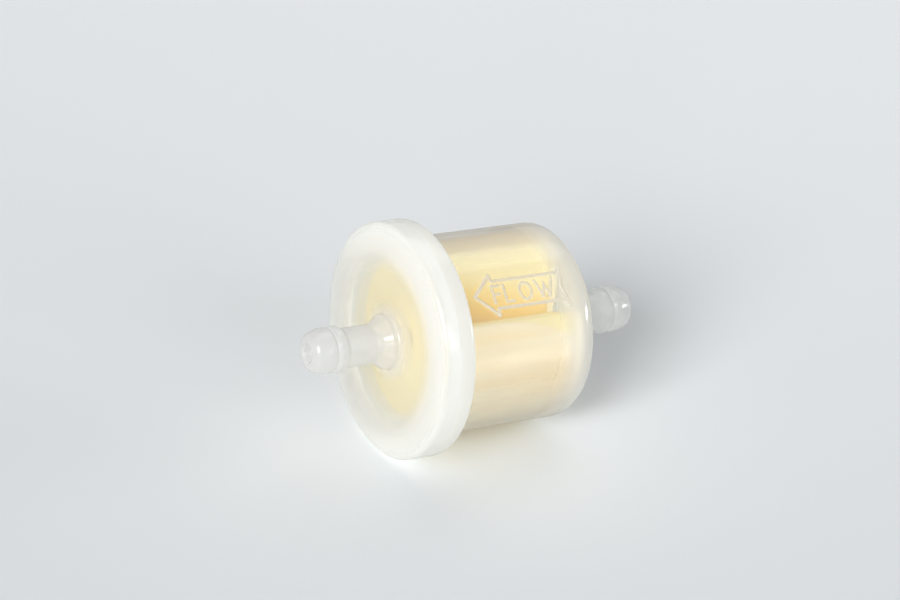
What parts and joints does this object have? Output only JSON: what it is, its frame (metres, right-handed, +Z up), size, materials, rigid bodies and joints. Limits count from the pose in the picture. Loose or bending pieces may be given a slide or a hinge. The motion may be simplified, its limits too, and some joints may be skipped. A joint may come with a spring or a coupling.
{
  "type": "in-line fuel filter",
  "caption": "Small in-line fuel filter: clear nylon cup and welded cover with barbed hose nipples, around a folded paper element.",
  "frame": {"origin": "on the filter's axis, at the middle of its overall length", "axes": "+X along the filter's axis from the outlet cover to the inlet nipple, +Z up; the flow arrow points to -X, on the -Y side, above the middle"},
  "size_m": [0.063, 0.041, 0.041],
  "materials": {
    "cup_nylon": "clear, slightly milky moulded nylon",
    "cover_nylon": "clear, slightly milky moulded nylon",
    "filter_paper": "resin-treated cream filter paper",
    "seam_glue": "satin hot-melt glue",
    "end_seal": "satin tan potting compound",
    "end_glue": "satin hot-melt glue"
  },
  "bodies": {
    "root": {"cup_housing": "cup_nylon", "outlet_cover": "cover_nylon", "filter_paper": "filter_paper", "paper_seam": "seam_glue", "outlet_end_seal": "end_seal", "inlet_end_seal": "end_glue"}
  },
  "joints": []
}
